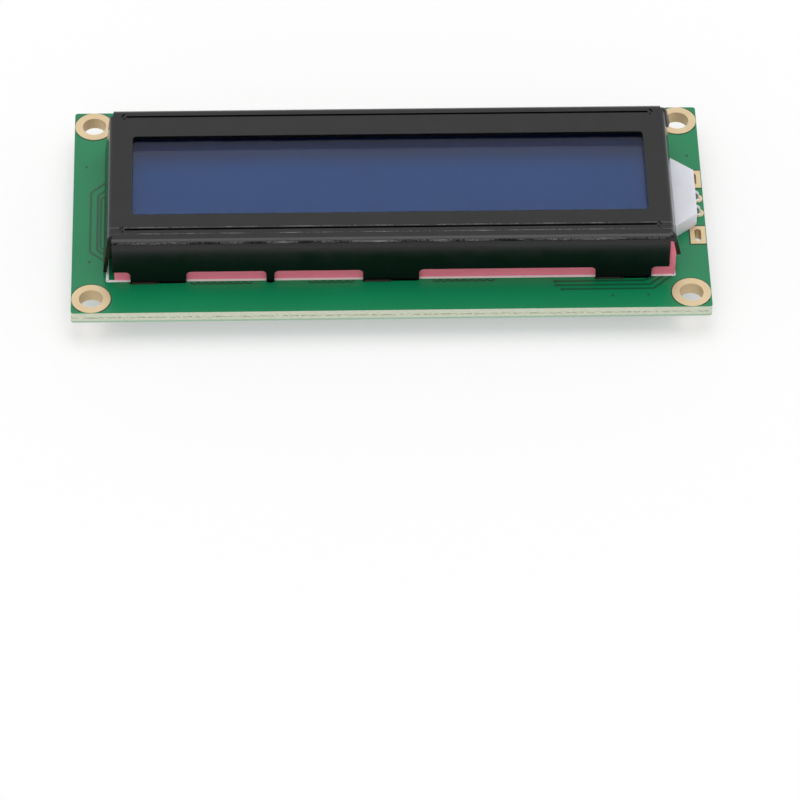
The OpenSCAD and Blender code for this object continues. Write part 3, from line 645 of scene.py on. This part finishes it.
glyphs = {
    "0": [[(1, 0), (0, 1.4), (0, 4.6), (1, 6), (3, 6), (4, 4.6), (4, 1.4), (3, 0), (1, 0)]],
    "1": [[(0.9, 4.8), (2.2, 6), (2.2, 0)]],
    "2": [[(0, 4.7), (1, 6), (3, 6), (4, 5), (4, 3.8), (0, 0), (4, 0)]],
    "3": [[(0, 6), (4, 6), (2, 3.6), (3.2, 3.4), (4, 2.4), (4, 1.2), (3, 0), (1, 0), (0, 1)]],
    "4": [[(3, 0), (3, 6), (0, 1.8), (4, 1.8)]],
    "5": [[(4, 6), (0.4, 6), (0, 3.4), (3, 3.7), (4, 2.6), (4, 1.2), (3, 0), (1, 0), (0, 0.9)]],
    "6": [[(3.4, 6), (1.6, 5.2), (0.3, 3.4), (0, 2), (0.2, 1), (1.2, 0), (2.8, 0), (4, 1.1), (4, 2.4), (2.9, 3.5),
           (1.4, 3.5), (0.3, 2.6)]],
    "8": [[(1, 3.2), (0, 4.2), (0, 5), (1, 6), (3, 6), (4, 5), (4, 4.2), (3, 3.2), (1, 3.2), (0, 2.2),
           (0, 1), (1, 0), (3, 0), (4, 1), (4, 2.2), (3, 3.2)]],
    "A": [[(0, 0), (2, 6), (4, 0)], [(0.7, 2), (3.3, 2)]],
    "C": [[(4, 4.7), (3, 6), (1, 6), (0, 4.6), (0, 1.4), (1, 0), (3, 0), (4, 1.3)]],
    "F": [[(0, 0), (0, 6), (4, 6)], [(0, 3.1), (3, 3.1)]],
    "J": [[(3.4, 6), (3.4, 1.2), (2.6, 0), (1, 0), (0.2, 1.2)]],
    "K": [[(0, 0), (0, 6)], [(4, 6), (0, 2.2)], [(1.4, 3.5), (4, 0)]],
    "R": [[(0, 0), (0, 6), (3, 6), (4, 5.1), (4, 4), (3, 3.1), (0, 3.1)], [(2, 3.1), (4, 0)]],
    "U": [[(0, 6), (0, 1.3), (1, 0), (3, 0), (4, 1.3), (4, 6)]]}


def lettering(text, left, low, height, narrow=1.0):  # strokes of one word, its first letter at (left, low)
    size = height / 6
    strokes = []
    for index, letter in enumerate(text):
        start = left + index * 5.6 * size * narrow
        strokes += [[(start + x * size * narrow, low + y * size) for x, y in stroke] for stroke in glyphs[letter]]
    return strokes


# the back of the board: legend

backValues = {"letterHigh": 1.38, "smallHigh": 1.08, "narrow": 0.94, "columnX": 28.7, "columnTop": 5.42,
              "columnPitch": 2.39}
labels = [("16", -9.7, 15.0), ("1", 33.7, 14.95), ("R8", -16.4, 12.75), ("RF", 20.3, -2.6),
          ("C2", -26.0, -3.3), ("C3", -26.0, -6.85), ("U3", -30.15, 1.45), ("JR", -38.6, -9.2),
          ("JC", -38.7, -11.15), ("U2", -8.6, -5.1), ("U1", 5.5, -6.1)]
labels += [("R%d" % (6 - i), 26.1, 4.7 - i * backValues["columnPitch"]) for i in range(6)]
legend = lettering("J2J3", -24.95, 5.75, 1.1, 0.8)
for text, left, low in labels:
    legend += lettering(text, left, low, backValues["letterHigh"], backValues["narrow"])
for text, left, low in (("J1", -34.55, 5.5), ("A", -39.4, 7.15), ("K", -39.55, -8.35)):
    legend += lettering(text, left, low, backValues["smallHigh"])
legend += [boxPath(-23.0, 11.4, -16.8, 14.2), boxPath(20.1, -5.25, 24.7, -3.0), boxPath(-32.7, -4.0, -26.5, -1.3),
           boxPath(-32.7, -7.5, -26.5, -4.8), boxPath(-36.3, -9.45, -33.05, -7.55),
           boxPath(-36.3, -11.5, -33.05, -9.75)]
for i in range(6):
    middle = backValues["columnTop"] - i * backValues["columnPitch"]
    legend.append(boxPath(backValues["columnX"], middle - 1.1, backValues["columnX"] + 4.5, middle + 1.1))
legend.append([(-29.9, 4.7), (-30.4, 4.7), (-30.4, -0.9), (-27.6, -0.9), (-27.6, 4.7), (-28.2, 4.7)])
legend.append(ringPath(-29.05, 4.7, 0.75, 180, 360, 12))
legend += [ringPath(x, 6.1, 1.25) for x in (-31.5, -28.95, -26.6)]
legend.append([(-28.6, 7.65), (-22.2, 7.65), (-20.8, 6.3), (-20.8, 5.2), (-25.2, 5.2)])
legend += [ringPath(-13.05, 0.2, 5.98, steps=72), ringPath(13.1, -0.8, 6.66, steps=80)]
addRibbons("backLegend", legend, onBack, printInk, lift=0.012, width=0.21, thick=0.014, bend=0.06)
print("back legend printed:", len(legend), "strokes")


# the back of the board: tracks. A bus is one path with copies beside it

def offsetPath(path, away):
    moved = []
    for i, (x, y) in enumerate(path):
        before = Vector(path[i]) - Vector(path[i - 1]) if i else None
        after = Vector(path[i + 1]) - Vector(path[i]) if i + 1 < len(path) else None
        sides = [Vector((-d.y, d.x)).normalized() for d in (before, after) if d is not None]
        mitre = sides[0] if len(sides) == 1 else (sides[0] + sides[1]).normalized()
        stretch = 1.0 / max(0.4, mitre.dot(sides[0]))
        moved.append((x + mitre.x * away * stretch, y + mitre.y * away * stretch))
    return moved


def bus(path, count, pitch):
    return [offsetPath(path, i * pitch) for i in range(count)]


spokeCount = 64
fineTracks = []
for i in range(6):  # from the header pads, slanting down to the rails above the right-hand chip
    x, rail = 2.5 + i * 2.54, 9.9 + 0.3 * i
    fineTracks.append([(x, 14.6), (x + 4.0 - 0.1 * i, rail), (20.0 + 0.3 * i, rail), (21.1 + 0.3 * i, rail - 1.1)])
for i in range(3):
    x = 22.9 + 0.42 * i
    fineTracks.append([(17.64 + i * 2.54, 14.6), (x, 12.4), (x, 4.2)])
fineTracks += bus([(12.6, 6.1), (14.2, 8.1), (18.6, 8.1), (21.0, 5.6), (21.0, 3.6), (23.6, 1.2)], 6, -0.3)
fineTracks += bus([(-24.3, 5.0), (-24.3, 1.9), (-18.6, -4.0)], 8, 0.32)
trunk = bus([(-19.5, -6.4), (-10.0, -7.0), (-3.0, -0.2), (-0.9, -0.2), (4.4, 5.2)], 7, -0.3)
trunkVias = ((-23.3, -3.5), (-22.4, -4.2), (-23.3, -5.0), (-22.4, -5.6), (-23.3, -6.4), (-22.4, -7.1), (-23.3, -7.9))
fineTracks += [[via] + path for via, path in zip(trunkVias, trunk)]
fineTracks += bus([(-13.4, 6.2), (-12.9, 8.3), (-5.8, 8.3), (-3.2, 5.2)], 7, -0.3)
fineTracks += bus([(-6.0, -9.6), (-3.2, -6.8), (-0.6, -6.8), (4.8, -1.4)], 6, 0.3)
fineTracks += [[(-13.3 + 1.28 * i, -12.5), (-11.4 + 0.9 * i, -10.4)] for i in range(7)]
fineTracks += [[(5.8 + 1.25 * i, -12.5), (5.8 + 1.25 * i, -10.0 + 0.4 * i), (8.4 + i, -7.2)] for i in range(4)]
fineTracks += [[(17.1 + 1.28 * i, -12.5), (17.1 + 1.28 * i, -10.6 + 0.5 * i), (14.8 + 0.6 * i, -8.0 + 0.3 * i)]
               for i in range(6)]
spokes = []
for cx, cy, radius, start in ((-13.05, 0.2, 6.2, 2), (13.1, -0.8, 6.9, 5)):
    for i in range(spokeCount):  # the fan of bond-out tracks round each dome, its reach by a rule
        turn = math.radians(start + i * 360 / spokeCount)
        reach = 0.4 + 0.35 * ((i * 5) % 4)
        spokes.append([(cx + far * math.cos(turn), cy + far * math.sin(turn)) for far in (radius, radius + reach)])
addRibbons("bondSpokes", spokes, onBack, trackFinish, lift=0.003, width=0.13, thick=0.008, bend=0.1)
addRibbons("backFineTracks", fineTracks, onBack, trackFinish, lift=0.006, width=0.13, thick=0.008, bend=0.15)
gaps = bus([(-4.2, 13.2), (-4.9, 13.3), (-34.7, 13.6), (-37.0, 11.4), (-37.0, 6.2), (-37.8, 5.4)], 2, -0.66)
gaps += bus([(-3.6, 9.7), (-25.4, 9.7)], 2, -0.6)
gaps += bus([(-32.7, 10.0), (-34.9, 8.0), (-34.9, -6.2), (-34.0, -7.4)], 2, 0.7)
gaps += [[(-24.6, -8.0), (-24.6, -14.2), (-23.2, -15.7), (33.4, -15.7), (35.95, -13.1), (35.95, -2.4), (35.0, -1.3),
          (35.0, 3.6), (33.3, 5.6)],
         [(-20.9, -13.8), (32.6, -13.8), (34.2, -12.2), (34.2, -10.4)],
         [(-19.6, -14.4), (32.85, -14.4), (34.75, -12.45), (34.75, -8.8), (34.0, -8.0), (31.6, -8.0)],
         [(-18.4, -15.0), (33.1, -15.0), (35.35, -12.7), (35.35, -2.3), (34.45, -1.3), (34.45, 3.4)],
         [(29.9, 14.6), (31.2, 14.0), (36.2, 10.2), (36.2, 2.0)],
         [(30.8, 14.9), (36.8, 10.4), (36.8, 2.0), (36.4, 1.5)],
         [(-38.0, -3.4), (-38.0, 2.9)]]
gaps += [[(28.6, 4.7 - 2.39 * i), (26.6 - i * 0.4, 4.7 - 2.39 * i), (22.6 + i * 0.25, 0.9 - 0.8 * i)]
         for i in range(5)]
addRibbons("backTrackGaps", gaps, onBack, gapFinish, lift=0.004, width=0.3, thick=0.008, bend=0.4)
barrels = [ringPath(x, boardPlan["headerY"], 0.485, steps=20) for x in boardPlan["headerX"]]
addRibbons("headerBarrels", barrels, onFace, gold, lift=-0.8, width=0.03, thick=1.68, bend=0.01)
slotRing = {"reach": 3.1, "radius": 0.68}
slotRings = []
for x in boardPlan["slotX"]:
    for y in boardPlan["slotY"]:
        right = ringPath(x + slotRing["reach"], y, slotRing["radius"], -90, 90, 10)
        left = ringPath(x - slotRing["reach"], y, slotRing["radius"], 90, 270, 10)
        slotRings.append(right + left + right[:1])
addRibbons("slotPlating", slotRings, onBack, tin, lift=0.008, width=0.14, thick=0.02, bend=0.02)
addRibbons("lugHoleRings", [ringPath(x, y, 0.9, steps=28) for x, y in ((-15.1, 11.4), (15.1, -12.3))], onBack,
           gapFinish, lift=0.008, width=0.26, thick=0.01, bend=0.02)
backRings = padRings(-1) + [boxPath(x - 3.6, y - 1.53, x + 3.6, y + 1.53)
                            for x in boardPlan["slotX"] for y in boardPlan["tabPadY"]]
backRings += [boxPath(x - 0.85, y - 0.9, x + 0.85, y + 0.9) for x in (-31.25, -27.85) for y in (-2.8, -6.2)]
addRibbons("backPadRings", backRings, onBack, viaFinish, lift=0.004, width=0.18, thick=0.008, bend=0.1)
backVias = [(-23.5, -12.55), (-22.2, -12.6), (-21.0, -12.55), (-38.8, 9.0), (-36.4, 8.3), (-22.5, 3.7), (-21.8, 4.6),
            (-29.3, 3.2), (-27.9, 3.2), (-29.5, -6.1), (-33.3, -4.3), (-32.1, -15.8), (-27.6, -15.9), (-22.3, -14.6),
            (-5.5, -0.1), (-6.3, -1.0), (-7.1, -1.8), (-2.7, 1.4), (38.0, 8.1), (37.3, -9.0), (34.1, -8.9),
            (33.7, -10.1), (34.1, 9.4), (36.1, 2.0), (34.0, -7.8), (21.5, -0.4), (23.6, 0.4)]
backVias += [(-13.4 + 1.28 * i, -12.5) for i in range(7)] + [(5.8 + 1.25 * i, -12.55) for i in range(4)]
backVias += [(17.1 + 1.28 * i, -12.55) for i in range(6)] + [(-3.2 + 1.25 * i, 7.25) for i in range(6)]
backVias += [(-8.9 + 1.1 * i, 4.4 - 0.9 * (i % 2)) for i in range(6)] + [(15.1 + 0.75 * i, 5.5) for i in range(8)]
backVias += [(-23.3 + 0.9 * (i % 2), -2.7 - 0.72 * i) for i in range(9)]
backVias += [(4.4 + 0.95 * (i % 2), -3.9 - 0.73 * i) for i in range(7)]
addDots("backVias", backVias, onBack, viaFinish, lift=0.012, radius=0.17, thick=0.012)
ringed = [(-17.7, 6.9), (-16.7, 6.25), (-17.95, 4.3), (-18.25, 3.4), (19.9, 0.5), (20.9, 0.5), (22.4, 0.5),
          (23.1, -0.4)]
addDots("testPoints", ringed, onBack, gold, lift=0.014, radius=0.34, thick=0.02)
addDots("testPointHoles", ringed, onBack, viaFinish, lift=0.026, radius=0.15, thick=0.01)
print("back tracks drawn:", len(fineTracks) + len(gaps), "paths,", len(backVias) + len(ringed), "vias")


# chip resistors: ceramic block, dark glaze and wrapped ends, one shape set on each place

def makeBlockTree():  # one block on each point
    tree, given = newTree("blockOnPoint", {"Length": 2.0 * mm, "Width": 1.25 * mm, "Height": 0.5 * mm}, ["Material"])
    size = addNode(tree, "ShaderNodeCombineXYZ", {0: given["Length"], 1: given["Width"], 2: given["Height"]})
    block = addNode(tree, "GeometryNodeMeshCube", {"Size": size.outputs[0]})
    placed = addNode(tree, "GeometryNodeInstanceOnPoints", {
        "Points": given["Geometry"], "Instance": block.outputs[0]})
    closeTree(tree, placed.outputs[0], given["Material"])
    return tree


def addChips(name, names, chip):
    low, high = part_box(names[0])
    length, width, height = (b - a for a, b in zip(low, high))
    end, glazeDeep = chip["end"] * mm, chip["glaze"] * mm
    centres = []
    for node in names:
        nodeLow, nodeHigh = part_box(node)
        centres.append([(a + b) / 2 for a, b in zip(nodeLow, nodeHigh)])
    runs = [  # offsets of the blocks, their size, their finish
        ([(0, 0)], (length - 0.1 * mm, width - 0.06 * mm, height - 0.06 * mm), alumina),
        ([(0, -height / 2)], (length - 2 * end, width - 0.08 * mm, glazeDeep), glaze),
        ([((length - end) / 2, 0), ((end - length) / 2, 0)], (end, width, height), tin)]
    shape = bmesh.new()
    for index, (offsets, size, finish) in enumerate(runs):
        points = bpy.data.meshes.new(name)
        points.from_pydata([(x + dx, y, z + dz) for x, y, z in centres for dx, dz in offsets], [], [])
        mesh = growMesh(name, points, blockTree, {
            "Length": size[0], "Width": size[1], "Height": size[2], "Material": finish})
        before = len(shape.faces)
        shape.from_mesh(mesh)
        shape.faces.ensure_lookup_table()
        for face in shape.faces[before:]:
            face.material_index = index
    bmesh.ops.bevel(shape, geom=shape.edges[:], offset=chip["round"] * mm, segments=2, affect="EDGES",
                    profile=0.5, clamp_overlap=True)
    piece = addPiece(name, closeShape(name, shape, *(run[2] for run in runs)))
    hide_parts(*names)


blockTree = makeBlockTree()
addChips("smallChips", ["resistor_%d" % i for i in range(1, 7)] + ["resistor_f"],
         {"end": 0.2, "glaze": 0.03, "round": 0.012})
addChips("largeChip", ["resistor_8"], {"end": 0.48, "glaze": 0.03, "round": 0.02})
codeValues = {"high": 0.66, "narrow": 0.66, "largeHigh": 0.75, "largeNarrow": 0.85, "inkLift": 0.012,
              "starts": {"0": 30.81, "222": 30.418}}
codes = lettering("016", 21.9, -4.43, codeValues["high"], codeValues["narrow"])
for i in range(6):
    text = "222" if i else "0"
    low = backValues["columnTop"] - i * backValues["columnPitch"] - codeValues["high"] / 2
    codes += lettering(text, codeValues["starts"][text], low, codeValues["high"], codeValues["narrow"])
largeCode = lettering("101", -20.65, 12.4, codeValues["largeHigh"], codeValues["largeNarrow"])
for name, strokes, chip in (("valueCodes", codes, "resistor_1"), ("largeValueCode", largeCode, "resistor_8")):
    chipTop = (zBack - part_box(chip)[0][2]) / mm
    addRibbons(name, strokes, onBack, printInk, lift=chipTop + codeValues["inkLift"], width=0.09,
               thick=0.01, bend=0.04)
print("chip resistors set")


# two hand-soldered joints where the lamp's wires come through

def addJoints():
    joint = {"wide": 0.72, "long": 1.15, "high": 0.95, "spots": ((-38.95, 1.2), (-38.98, -1.5)),
             "lean": (0.35, -0.3), "wires": ((39.2, 1.15), (39.2, -1.45)), "cuff": (0.5, 0.3, 0.14),
             "ripple": 0.09, "narrowing": (0.3, 0.35), "dent": 0.06, "sunk": 0.02}
    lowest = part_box("lamp_solder")[0][2]
    shape = bmesh.new()
    for index, (x, y) in enumerate(joint["spots"]):
        made = bmesh.ops.create_uvsphere(shape, u_segments=28, v_segments=18, radius=1.0)["verts"]
        for vert in made:
            up = max(0.0, vert.co.z)
            ridge = 1.0 + joint["ripple"] * math.sin(5.0 * vert.co.x + 3.1 * vert.co.y + index) * (1.0 - up)
            peak = up ** 1.5
            slim, short = (1.0 - narrowing * peak for narrowing in joint["narrowing"])
            vert.co = Vector((vert.co.x * joint["wide"] * ridge * slim,
                              vert.co.y * joint["long"] * ridge * short + joint["lean"][index] * peak,
                              up * joint["high"] * (1.0 - joint["dent"] * math.sin(7.0 * vert.co.x))))
            px, py, pz = onBack(x + vert.co.x, y + vert.co.y, vert.co.z - joint["sunk"])
            vert.co = (px, py, max(pz, lowest))
    foot, neck, rise = joint["cuff"]
    for x, y in joint["wires"]:  # the meniscus round each wire on the front
        bmesh.ops.create_cone(shape, cap_ends=True, segments=24, radius1=foot * mm, radius2=neck * mm,
                              depth=rise * mm, matrix=Matrix.Translation(onFace(x, y, rise / 2)))
    bmesh.ops.recalc_face_normals(shape, faces=shape.faces)
    piece = addPiece("lampJoints", closeShape("lampJoints", shape, tin), smoothAngle=60)
    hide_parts("lamp_solder")


addJoints()
print("solder joints shaped")


# floor, light and camera

def addStage():
    stage = {"half": 3.0, "paper": "#FDFDFD", "glow": 0.42}
    mesh = bpy.data.meshes.new("floor")
    half = stage["half"]
    mesh.from_pydata([(-half, -half, 0), (half, -half, 0), (half, half, 0), (-half, half, 0)], [], [(0, 1, 2, 3)])
    floor = bpy.data.objects.new("floor", mesh)
    bpy.context.scene.collection.objects.link(floor)
    material, tree, shader = newMaterial("whitePaper", stage["paper"], 0.9)[:3]
    white = addNode(tree, "ShaderNodeEmission", {"Color": (1, 1, 1, 1), "Strength": 1.0})
    share = addNode(tree, "ShaderNodeMath", {0: seenStraight(tree), 1: stage["glow"]}, operation="MULTIPLY")
    both = addNode(tree, "ShaderNodeMixShader", {0: share.outputs[0], 1: shader.outputs["BSDF"], 2: white.outputs[0]})
    setSurface(tree, both.outputs[0])
    mesh.materials.append(material)


def addDarkCard():
    # stands in for the dark side of the studio: only gloss sees it, as a dark line along the bend
    card = {"centre": (-0.03, -1.0, 1.0), "half": 0.3, "grey": "#0A0A0A"}
    centre = Vector(card["centre"])
    turn = centre.to_track_quat("Z", "Y")
    half = card["half"]
    corners = [centre + turn @ Vector((x * 2.5, y, 0)) for x, y in
               ((-half, -half), (half, -half), (half, half), (-half, half))]
    mesh = bpy.data.meshes.new("darkCard")
    mesh.from_pydata(corners, [], [(3, 2, 1, 0)])
    mesh.materials.append(makePlain("darkCard", card["grey"], 1.0, 20.0, 0.1))
    piece = bpy.data.objects.new("darkCard", mesh)
    bpy.context.scene.collection.objects.link(piece)
    piece.visible_camera = piece.visible_diffuse = piece.visible_shadow = piece.visible_transmission = False


def addLight():
    lamps = [  # name, place, size, power
        ("softboxAbove", (0.05, 0.14, 1.15), 0.9, 4.4),
        ("softboxFront", (-0.5, -1.0, 0.75), 0.7, 1.4)]
    for name, spot, size, power in lamps:
        data = bpy.data.lights.new(name, "AREA")
        data.shape, data.size, data.energy = "SQUARE", size, power
        lamp = bpy.data.objects.new(name, data)
        lamp.location = spot
        lamp.rotation_euler = (-Vector(spot)).to_track_quat("-Z", "Y").to_euler()
        bpy.context.scene.collection.objects.link(lamp)
    tent = {"lit": 0.7, "seen": 1.0}  # how strongly the tent lights the object, and how white it looks
    world = bpy.data.worlds.new("whiteTent")
    bpy.context.scene.world = world
    world.use_nodes = True
    tree = world.node_tree
    tree.nodes.clear()
    strength = addNode(tree, "ShaderNodeMapRange", {"Value": seenStraight(tree), "To Min": tent["lit"],
                                                    "To Max": tent["seen"]})
    paper = addNode(tree, "ShaderNodeBackground", {"Color": (1, 1, 1, 1), "Strength": strength.outputs[0]})
    addNode(tree, "ShaderNodeOutputWorld", {"Surface": paper.outputs[0]})


def addCamera():
    view = {"place": (-15.0, -484.5, 482.8), "tilt": 46.66, "heading": -1.98, "roll": 0.76,
            "lens": 241.5, "sensor": 36.0}
    tilt, heading, roll = (math.radians(view[key]) for key in ("tilt", "heading", "roll"))
    turn = Matrix.Rotation(heading, 3, "Z")
    ahead = turn @ Vector((0, math.cos(tilt), -math.sin(tilt)))
    right = turn @ Vector((1, 0, 0))
    up = turn @ Vector((0, math.sin(tilt), math.cos(tilt)))
    across = math.cos(roll) * right + math.sin(roll) * up
    upward = -math.sin(roll) * right + math.cos(roll) * up
    data = bpy.data.cameras.new("camera")
    data.lens, data.sensor_width, data.clip_start = view["lens"], view["sensor"], 0.01
    camera = bpy.data.objects.new("camera", data)
    pose = Matrix((across, upward, -ahead)).transposed().to_4x4()
    pose.translation = [value * mm for value in view["place"]]
    camera.matrix_world = pose
    bpy.context.scene.collection.objects.link(camera)
    bpy.context.scene.camera = camera


addStage()
addDarkCard()
addLight()
addCamera()
bpy.context.scene.view_settings.view_transform = "Standard"
print("floor, light and camera set")
